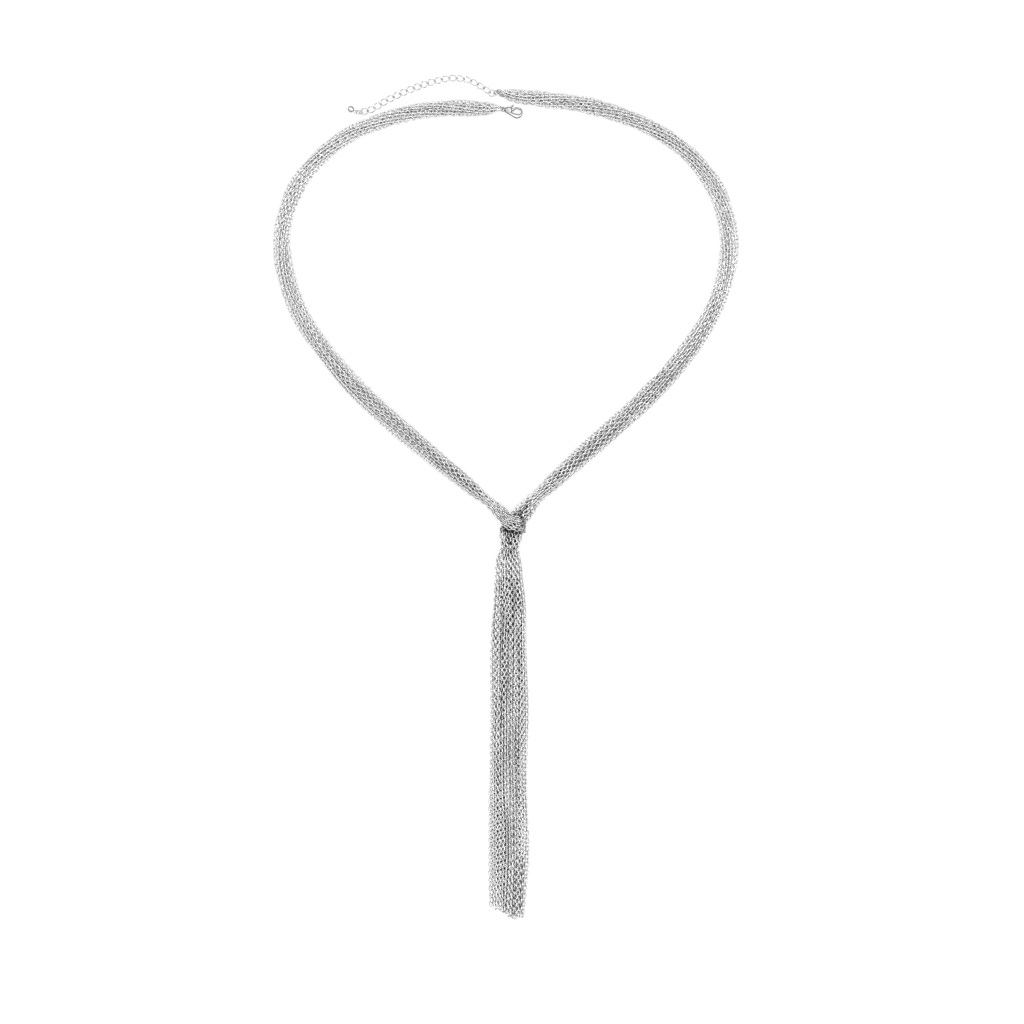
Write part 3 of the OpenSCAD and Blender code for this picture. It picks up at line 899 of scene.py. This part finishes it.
@dataclass
class ChainField:
    """All fine chains together: lays them out, lets them settle and sets their links.

    All links of a side are in step at in_step_at of the way to the knot and at in_step_y, there
    along a slanted line. roll_at are places along Y, and roll_base the links' roll there. A chain's
    roll differs by roll_apart from the others' and sways, and a link's by roll_jitter.
    """

    finish: Material
    rng: Generator
    pitch: float = 1.78
    in_step_at: Row = (0.4, 0.8)
    in_step_y: float = -110.0
    slant: Row = (0.0, 0.0, 0.5)
    slant_apex: float = 4.6
    long_run: float = 90.0
    end_room: float = 0.4
    half_chord: float = 0.8
    levelling: float = 0.12
    roll_at: Row = (-30, 20, 90, 130)
    roll_base: Row = (20, 22, 40, 45)
    roll_apart: float = 15.0
    roll_sway: float = 9.0
    roll_jitter: float = 3.0
    sway_links: Pair = (9, 30)
    cell_margin: float = 0.06
    knot: Knot = field(default_factory=Knot)
    press: ChainPress = field(default_factory=ChainPress)
    tarnish_and_shade: ChainTarnishAndShade = field(default_factory=ChainTarnishAndShade)
    tassel: Tassel = field(init=False)
    bundles: list[ChainBundle] = field(init=False)

    def __post_init__(self) -> None:
        """Make the tassel and the two bundles with their rings."""
        left = EndRing((-3, 174.65, 1.87), tilt=82, heading=8, radius=1.6, reach=-1)
        right = EndRing((-3.1, 182.3, 1.53), tilt=60, heading=-32, radius=1.45, reach=1,
                        low_turn=-35, high_turn=70)
        self.tassel = Tassel(self.rng)
        self.bundles = [
            ChainBundle(Side.LEFT, LEFT_ROWS, left, self.rng, sweep=1.15),
            ChainBundle(Side.RIGHT, RIGHT_ROWS, right, self.rng, sweep=1.3),
        ]

    def lay(self) -> list[Array]:
        """Join the upper paths, the knot and the tassel.

        Returns:
            Whole paths of each side, as chains, stations and x y z.
        """
        lower = np.split(self.tassel.paths(), len(self.bundles))
        joined = []
        for bundle, share in zip(self.bundles, lower):
            upper = bundle.upper_paths()
            # Chains keep their order across the bundle as they enter the knot and the tassel.
            if bundle.side is Side.LEFT:
                inside, points = self.knot.wrap_paths(bundle.chains), self.knot.wrap_points
                inside = deal(inside, inside[:, 0, 1], upper[:, -1, 1])
            else:
                inside, points = self.knot.core_paths(bundle.chains), self.knot.core_points
                inside = deal(inside, inside[:, 1, 0], upper[:, -1, 0])
            share = deal(share, share[:, 0, 0], inside[:, -1, 0])
            whole = []
            for above, within, under in zip(upper, inside, share):
                through = np.vstack([above[LAST_STATIONS], within, under[TASSEL_STATIONS]])
                path = curve_through(through, FINE_STEP)
                at = np.linspace(0, len(path) - 1, points + 2).round().astype(int)[1:-1]
                whole.append(np.vstack([above[:LAST_STATIONS[0]], path[at], under[TASSEL_JOIN:]]))
            joined.append(np.stack(whole))
        return joined

    def build(self) -> None:
        """Build one piece for each chain, left ones first."""
        joined, lines = self.lay(), [bundle.line() for bundle in self.bundles]
        self.press.relax(joined, lines)
        strands = []
        for bundle, paths, line in zip(self.bundles, joined, lines):
            side = bundle.side.value
            for k, path in enumerate(paths):
                marks = [round(share * len(line)) for share in self.in_step_at]
                marks.append(int(np.argmax(path[:, 1] < self.in_step_y)))
                path = path[path[:, 1] > self.tassel.end_of(path[-1, 0], k)]
                strands.append(Strand(f"{side}_chain_{k + 1:02d}", f"{side}_bundle", path,
                                      *self.link_places(path, marks)))
        template = ChainLink().template()
        depths = self.tarnish_and_shade.depths([strand.points() for strand in strands])
        for strand, deep in zip(strands, depths):
            piece = self.link_up(strand, deep, template)
            dress(piece, self.finish, NECKLACE, "chain", strand.node, "knot", "tassel")

    def link_places(self, path: Array, marks: list[int]) -> tuple[Array, Array]:
        """Spread a chain's links along its path, so that neighbours are in step at some stations.

        Args:
            path: Points along the chain.
            marks: Indexes of the points where all chains of the side are in step.

        Returns:
            The length along the path of each link's middle, and the roll of each link in degrees.
        """
        length = run_length(path)
        at, roll, turned = [np.zeros(1)], [np.zeros(1)], 0.0
        for mark, slant in zip(marks, self.slant):
            free = length[mark] + slant * abs(path[mark, 0] - self.slant_apex) - at[-1][-1]
            steps = max(1, round(free / self.pitch))
            odd = steps % 2
            if odd and free > self.long_run:
                steps += 1 if free > steps * self.pitch else -1
                odd = 0
            f = np.arange(1, steps + 1) / steps
            roll.append(turned + 90 * odd * smooth_step(f))
            turned += 90 * odd
            at.append(at[-1][-1] + f * free)
        rest = np.arange(at[-1][-1] + self.pitch, length[-1] + self.end_room, self.pitch)
        return np.concatenate(at + [rest]), np.concatenate(roll + [np.full(len(rest), turned)])

    def carried(self, along: Array) -> Array:
        """Carry a direction across a chain from link to link without a twist, kept nearly level.

        Args:
            along: Direction of the chain at each link.

        Returns:
            The direction across it at each link.
        """
        ways = np.empty_like(along)
        start = np.cross(along[0], (0, 0, 1))
        ways[0] = start / np.linalg.norm(start)
        for i in range(1, len(along)):
            level = np.cross(along[i], (0, 0, 1))
            way = ways[i - 1] - along[i] * (ways[i - 1] @ along[i])
            way = way / np.linalg.norm(way) + self.levelling * (level @ level) * level
            ways[i] = way / np.linalg.norm(way)
        return ways

    def link_up(self, strand: Strand, deep: Array, template: tuple) -> Object:
        """Set links along a path, each turned a quarter from the one before.

        Args:
            strand: The chain.
            deep: How deep each of its links lies under others.
            template: The link's points, faces, map corners and shares of painted shade in its opening.

        Returns:
            One joined piece.
        """
        points, faces, chart, painted_shade = template
        middle, number = strand.points(), np.arange(len(strand.at))
        along = unit(strand.points(self.half_chord) - strand.points(-self.half_chord))
        along[0] = unit(middle[1] - middle[0])
        level = self.carried(along)
        upright = np.cross(along, level)
        sway = sum(np.sin(number / self.rng.uniform(*self.sway_links) + self.rng.uniform(0, PHASE))
                   for _ in range(2))
        roll = np.radians(np.interp(middle[:, 1], self.roll_at, self.roll_base)
                          + self.rng.uniform(-self.roll_apart, self.roll_apart) + 90 * number
                          + strand.roll + self.roll_sway * sway
                          + self.rng.uniform(-self.roll_jitter, self.roll_jitter, len(number)))
        wide = np.cos(roll)[:, None] * level + np.sin(roll)[:, None] * upright
        high = np.cross(along, wide)
        placed = (middle[:, None] + points[None, :, :1] * along[:, None]
                  + points[None, :, 1:2] * wide[:, None] + points[None, :, 2:] * high[:, None])
        all_faces = (faces[None] + len(points) * number[:, None, None]).reshape(-1, 4)
        mesh = bpy.data.meshes.new(strand.name)
        mesh.from_pydata((placed.reshape(-1, 3) * MM).tolist(), [], all_faces.tolist())
        self.map_cells(mesh, chart, len(number))
        # Painted shade of the link openings and of the links buried under others
        mark_painted_shade(mesh, self.tarnish_and_shade.mask(middle, deep, painted_shade))
        return add_piece(strand.name, mesh)

    def map_cells(self, mesh: Mesh, chart: Array, count: int) -> None:
        """Give each link its own cell of the piece's map.

        Args:
            mesh: The chain's mesh, link by link.
            chart: Map coordinates of a link's face corners in a unit square.
            count: Number of links.
        """
        grid = math.ceil(math.sqrt(count))
        corner = np.stack(divmod(np.arange(count), grid)[::-1], axis=1)[:, None, None, :]
        spread = (corner + self.cell_margin + (1 - 2 * self.cell_margin) * chart[None]) / grid
        mesh.uv_layers.new(name="OFBake").data.foreach_set("uv", spread.reshape(-1).astype(np.float32))


@dataclass
class Placement:
    """Where a solid of the frame lies, in metres: its middle and its own three directions."""

    middle: Vector
    turn: Matrix
    size: Vector

    @classmethod
    def of(cls, node: str) -> "Placement":
        """Read a solid's placement from its points, longest direction first.

        Args:
            node: Name of the solid.

        Returns:
            Its placement.
        """
        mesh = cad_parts[node].data
        flat = np.empty(len(mesh.vertices) * 3, np.float32)
        mesh.vertices.foreach_get("co", flat)
        points = np.unique(flat.reshape(-1, 3).round(7), axis=0).astype(float)
        _, axes = np.linalg.eigh(np.cov((points - points.mean(0)).T))
        axes = axes[:, ::-1]
        axes[:, 2] = np.cross(axes[:, 0], axes[:, 1])
        own = points @ axes
        low, high = own.min(0), own.max(0)
        return cls(Vector(axes @ ((low + high) / 2)), Matrix(axes.tolist()), Vector(high - low))

    def matrix(self) -> Matrix:
        """The placement as a transform."""
        return Matrix.Translation(self.middle) @ self.turn.to_4x4()


def torus(mesh: BMesh, radius: float, wire: float, around: int, sides: int, cut: float = 0.0) -> None:
    """Add a round ring in the XY plane, closed, or open by a small cut with flat ends.

    Args:
        mesh: The mesh to add to.
        radius: From the ring's middle to the middle of its wire.
        wire: Thickness of the wire.
        around: Steps round the ring.
        sides: Sides of the wire.
        cut: Width of the cut along the wire.
    """
    start = set(mesh.verts)
    ring = bmesh.ops.create_circle(mesh, segments=sides, radius=wire / 2, cap_ends=cut > 0)["verts"]
    bmesh.ops.rotate(mesh, verts=ring, cent=(0, 0, 0), matrix=Matrix.Rotation(math.pi / 2, 3, "X"))
    bmesh.ops.translate(mesh, verts=ring, vec=(radius, 0, 0))
    new = [v for v in mesh.verts if v not in start]
    edges = [e for e in mesh.edges if e.verts[0] in new]
    lids = [f for f in mesh.faces if f.verts[0] in new]
    bmesh.ops.spin(mesh, geom=lids + edges + new, cent=(0, 0, 0), axis=(0, 0, 1),
                   angle=2 * math.pi - cut / radius, steps=around, use_merge=cut == 0, use_duplicate=False)


@dataclass
class JumpRings:
    """The five round rings, each of soft wire with the cut where it was closed."""

    finish: Material
    wire: float = 0.5
    cut: float = 0.06
    around: int = 56
    sides: int = 16

    def build(self) -> None:
        """Build every ring where its solid lies."""
        wire = self.wire * MM
        for node in ("clasp_ring", "gather_ring", "small_ring", "extender_ring", "drop_ring"):
            place = Placement.of(node)
            mesh = bmesh.new()
            torus(mesh, (max(place.size) - wire) / 2, wire, self.around, self.sides, self.cut * MM)
            dress(finish_mesh(f"{node}_wire", mesh, place.matrix()), self.finish, NECKLACE, "rings", node)


@dataclass
class Extender:
    """The curb links: ovals of round wire, each twisted so that the row lies flat."""

    finish: Material
    links: int = 19
    half_width: float = 1.35
    wire: float = 0.45
    twist: float = 45.0
    around: int = 40
    sides: int = 12

    def build(self) -> None:
        """Build every link where its solid lies."""
        wire = self.wire * MM
        for number in range(1, self.links + 1):
            node = f"curb_link_{number:02d}"
            place = Placement.of(node)
            mesh = bmesh.new()
            torus(mesh, 1.0, wire, self.around, self.sides)
            for vert in mesh.verts:
                vert.co = self.bend(vert.co, (place.size[0] - wire) / 2)
            dress(finish_mesh(f"{node}_wire", mesh, place.matrix()), self.finish, NECKLACE, "extender", node)

    def bend(self, point: Vector, half_length: float) -> Vector:
        """Move a point of a thin ring of radius 1 on to the twisted oval link.

        Args:
            point: The point.
            half_length: From the link's middle to the middle of its wire at the end.

        Returns:
            Where it goes.
        """

        def middle(angle: float) -> Vector:
            """Middle of the wire at an angle round the link."""
            lean, side = math.radians(self.twist) * math.cos(angle), self.half_width * MM * math.sin(angle)
            return Vector((half_length * math.cos(angle), side * math.cos(lean), side * math.sin(lean)))

        t, near = math.atan2(point.y, point.x), 0.02
        along = (middle(t + near) - middle(t - near)).normalized()
        outward = (middle(t) - along * middle(t).dot(along)).normalized()
        out = math.hypot(point.x, point.y) - 1.0
        return middle(t) + outward * out + along.cross(outward) * -point.z


@dataclass
class Clasp:
    """The lobster clasp: a cast body with soft edges, its sprung lever and the rivet.

    Painted shade darkens the metal along the outline, and most of all on the hook's inner edge, with a
    painted dark reflection there.
    """

    finish: Material
    grain: float = 0.09
    crown: float = 0.9
    core: float = 0.6
    lever_grain: float = 0.07
    lever_crown: float = 0.35
    lever_core: float = 0.15
    polish: int = 9
    wall_tilt: float = 0.5
    wall_room: float = 0.05
    pivot_room: float = 0.6
    opening: Pair = (4.5, 173.7)
    opening_reach: float = 3.2
    edge_dark: float = 0.5
    edge_wide: float = 0.45
    edge_soft: float = 1.15
    hook_dark: float = 0.45
    hook_wide: float = 0.6
    hook_way: Pair = (0.5, -0.86)
    facing: float = 0.1
    rivet_head: float = 0.35
    rivet_rise: float = 0.1

    def build(self) -> None:
        """Build the body, the lever and the rivet."""
        for node, body, grain, crown, core in (
            ("clasp_body", NECKLACE, self.grain, self.crown, self.core),
            ("clasp_lever", LEVER, self.lever_grain, self.lever_crown, self.lever_core),
        ):
            piece = self.crowned(node, grain, crown, core)
            self.darken(piece.data)
            dress(piece, self.finish, body, "clasp", node)
        dress(self.rivet(), self.finish, NECKLACE, "clasp", "clasp_rivet")

    def crowned(self, node: str, grain: float, crown: float, core: float) -> Object:
        """Copy a solid of the frame and crown its faces as casting and polishing leave them.

        Args:
            node: Name of the solid.
            grain: Size of the even faces that it gets.
            crown: How far in from its outline a face still falls away.
            core: Distance from the middle of its thickness that stays as it is.

        Returns:
            The rounded piece.
        """
        mesh = bmesh.new()
        mesh.from_mesh(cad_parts[node].data)
        bmesh.ops.remove_doubles(mesh, verts=mesh.verts, dist=20 * MERGE)
        rough = finish_mesh(f"{node}_rough", mesh, Matrix.Scale(1 / MM, 4))
        even = rough.modifiers.new("even", "REMESH")
        even.mode, even.voxel_size = "VOXEL", grain
        smooth = bpy.data.meshes.new_from_object(rough.evaluated_get(bpy.context.evaluated_depsgraph_get()))
        bpy.data.objects.remove(rough)
        mesh = bmesh.new()
        mesh.from_mesh(smooth)
        mesh.normal_update()
        pivot = sum((Vector(corner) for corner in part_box("clasp_rivet")), Vector()) / (2 * MM)
        edge = self.plan_tree([
            v.co for v in mesh.verts
            if abs(v.normal.z) < self.wall_tilt and abs(v.co.z - pivot.z) > core + self.wall_room
            and (v.co - pivot).xy.length > self.pivot_room
        ])
        for vert in mesh.verts:
            rise = abs(vert.co.z - pivot.z) - core
            if rise > 0:
                near = min(1.0, edge.find((vert.co.x, vert.co.y, 0))[2] / crown)
                fall = math.sqrt(1 - (1 - near) ** 2)
                vert.co.z = pivot.z + math.copysign(core + rise * fall, vert.co.z - pivot.z)
        for _ in range(self.polish):
            bmesh.ops.smooth_vert(mesh, verts=mesh.verts, factor=0.5, use_axis_x=True, use_axis_y=True,
                                  use_axis_z=True)
        return finish_mesh(f"{node}_cast", mesh, Matrix.Scale(MM, 4))

    @staticmethod
    def plan_tree(points: list[Vector]) -> KDTree:
        """Make a search tree over points as seen from above.

        Args:
            points: The points.

        Returns:
            The tree, with every point at height 0.
        """
        tree = KDTree(len(points))
        for i, point in enumerate(points):
            tree.insert((point.x, point.y, 0), i)
        tree.balance()
        return tree

    def darken(self, mesh: Mesh) -> None:
        """Paint shade along the outline, and most of all on the hook's inner edge, with a painted dark
        reflection there.

        Args:
            mesh: Mesh of the body or of the lever.
        """
        walls = [v for v in mesh.vertices if abs(v.normal.z) < self.wall_tilt]
        edge = self.plan_tree([v.co / MM for v in walls])
        dark = np.zeros(len(mesh.vertices), np.float32)
        for i, vert in enumerate(mesh.vertices):
            _, number, far = edge.find((vert.co.x / MM, vert.co.y / MM, 0))
            out = walls[number].normal.xy
            inward = Vector(self.opening) - walls[number].co.xy / MM
            share, wide = self.edge_dark, self.edge_wide
            # Walls of the hook that face hook_way get more painted shade, standing in for its shadow and dark
            # reflection
            if out @ inward > self.facing * inward.length and inward.length < self.opening_reach:
                share += self.hook_dark * max(0.0, out @ Vector(self.hook_way))
                wide = self.hook_wide
            dark[i] = share * float(smooth_step(np.array(self.edge_soft - far / wide)))
        mark_painted_shade(mesh, dark)

    def rivet(self) -> Object:
        """Build the rivet with its two low peened heads.

        Returns:
            The rivet.
        """
        low, high = (Vector(corner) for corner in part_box("clasp_rivet"))
        wide, rise, waist = self.rivet_head * MM, self.rivet_rise * MM, 0.05
        mesh = bmesh.new()
        bmesh.ops.create_uvsphere(mesh, u_segments=24, v_segments=12, radius=1.0)
        half = (high.z - low.z) / 2
        for vert in mesh.verts:
            z = math.copysign(half - rise + rise * abs(vert.co.z), vert.co.z)
            vert.co = Vector((vert.co.x * wide, vert.co.y * wide, z if abs(vert.co.z) > waist else 0.0))
        return finish_mesh("clasp_rivet_head", mesh, Matrix.Translation((low + high) / 2))


@dataclass
class EndDrop:
    """The small pear drop at the extender's end, with the eye it hangs from.

    at is the eye's middle and reach the distance from there to the middle of the round end. neck
    is the outline from the eye to the ball, as along and out. The drop leans by tilt degrees.
    """

    finish: Material
    at: Place = (-67.6, 173.4, 1.2)
    heading: float = 152.0
    tilt: float = -4.5
    lift: float = 0.3
    eye: float = 0.75
    wire: float = 0.5
    reach: float = 2.8
    round_d: float = 3.0
    neck: tuple[Pair, ...] = ((0.95, 0), (0.97, 0.26), (1.15, 0.34), (1.4, 0.52), (1.68, 0.8))
    around: int = 40
    sides: int = 14

    def profile(self) -> list[Pair]:
        """Half outline of the pear from its neck to its round end, as along and out."""
        ball, turn = self.round_d / 2, np.radians(np.arange(48, 181, 12))
        return [*self.neck, *((self.reach - ball * math.cos(a), ball * math.sin(a)) for a in turn)]

    def build(self) -> None:
        """Build the drop in one piece."""
        mesh = bmesh.new()
        verts = [mesh.verts.new((x * MM, 0, r * MM)) for x, r in self.profile()]
        edges = [mesh.edges.new(pair) for pair in zip(verts, verts[1:])]
        bmesh.ops.spin(mesh, geom=verts + edges, cent=(0, 0, 0), axis=(1, 0, 0),
                       angle=2 * math.pi, steps=self.around, use_merge=True)
        bmesh.ops.remove_doubles(mesh, verts=mesh.verts, dist=MERGE)
        lift = (self.round_d / 2 - self.at[2]) * MM
        turn = Matrix.Translation((0, 0, lift * self.lift)) @ Matrix.Rotation(math.radians(self.tilt), 4, "Y")
        bmesh.ops.transform(mesh, matrix=turn, verts=mesh.verts)
        torus(mesh, self.eye * MM, self.wire * MM, self.around, self.sides)
        place = Matrix.Translation(Vector(self.at) * MM) @ Matrix.Rotation(math.radians(self.heading), 4, "Z")
        dress(finish_mesh("end_drop_cast", mesh, place), self.finish, NECKLACE, "rings", "end_drop")


@dataclass
class Studio:
    """Pale floor, soft light from above and both sides, and the camera over the necklace.

    sky_seen and table_glow are what the camera sees of the sky and the floor, sky and
    table_mirrored what the metal sees. Lamps are in metres: place, size and power.
    """

    middle: Pair = (2.475, -6.75)
    view_width: float = 460.8
    focal: float = 120.0
    sensor: float = 36.0
    object_height: float = 3.0
    sky: float = 0.36
    sky_seen: float = 1.0
    table_tone: float = 0.3
    table_glow: float = 0.72
    table_mirrored: float = 0.25
    lamps: tuple[tuple[str, Place, float, float], ...] = (
        ("soft_box", (0.0, 0.0, 1.9), 5.0, 96.0),
        ("left_lamp", (-1.5, 0.9, 1.2), 0.5, 6.0),
        ("right_lamp", (1.6, -0.6, 1.2), 0.5, 6.0),
    )

    def camera(self) -> None:
        """Set the camera straight above, framed as the photograph is."""
        data = bpy.data.cameras.new("camera")
        data.type = "PERSP"
        data.lens, data.sensor_width = self.focal, self.sensor
        data.clip_start, data.clip_end = 0.05, 20
        camera = add_object("camera", data)
        away = self.view_width * self.focal / self.sensor + self.object_height
        camera.location = (self.middle[0] * MM, self.middle[1] * MM, away * MM)
        bpy.context.scene.camera = camera

    def light(self) -> None:
        """Hang the lights and set the sky."""
        for name, place, size, power in self.lamps:
            data = bpy.data.lights.new(name, "AREA")
            data.shape, data.size, data.energy = "SQUARE", size, power
            lamp = add_object(name, data)
            lamp.location = place
            lamp.rotation_euler = (Vector() - Vector(place)).to_track_quat("-Z", "Y").to_euler()
        world = bpy.data.worlds.new("sky")
        bpy.context.scene.world = world
        world.use_nodes = True
        tree = world.node_tree
        feed(tree, tree.nodes["Background"],
             {"Color": WHITE, "Strength": by_ray(tree, self.sky_seen, self.sky)})
        bpy.context.scene.view_settings.view_transform = "Standard"

    def floor(self) -> None:
        """Lay the pale floor: a light table, so that little shadow shows on it."""
        mesh = bmesh.new()
        bmesh.ops.create_grid(mesh, x_segments=1, y_segments=1, size=3.0)
        data = bpy.data.meshes.new("floor")
        mesh.to_mesh(data)
        mesh.free()
        floor = add_object("floor", data)
        paint = bpy.data.materials.new("pale_floor")
        paint.use_nodes = True
        tree = paint.node_tree
        feed(tree, tree.nodes["Principled BSDF"], {
            "Base Color": gray(self.table_tone), "Roughness": 0.9, "Emission Color": WHITE,
            "Emission Strength": by_ray(tree, self.table_glow, self.table_mirrored),
        })
        data.materials.append(paint)

    def build(self) -> None:
        """Make the whole setting."""
        self.camera()
        self.light()
        self.floor()


def main() -> None:
    """Build the setting, then each sub-assembly in order."""
    logging.basicConfig(level=logging.INFO, format="%(message)s")
    Studio().build()
    wear_and_shade = wear_and_shade_group()
    chain, ring, cast = (finish.material(wear_and_shade) for finish in (CHAIN_FINISH, RING_FINISH, CAST_FINISH))
    ChainField(chain, default_rng(SEED)).build()
    JumpRings(ring).build()
    Extender(ring).build()
    Clasp(cast).build()
    EndDrop(cast).build()


if __name__ == "__main__":
    main()
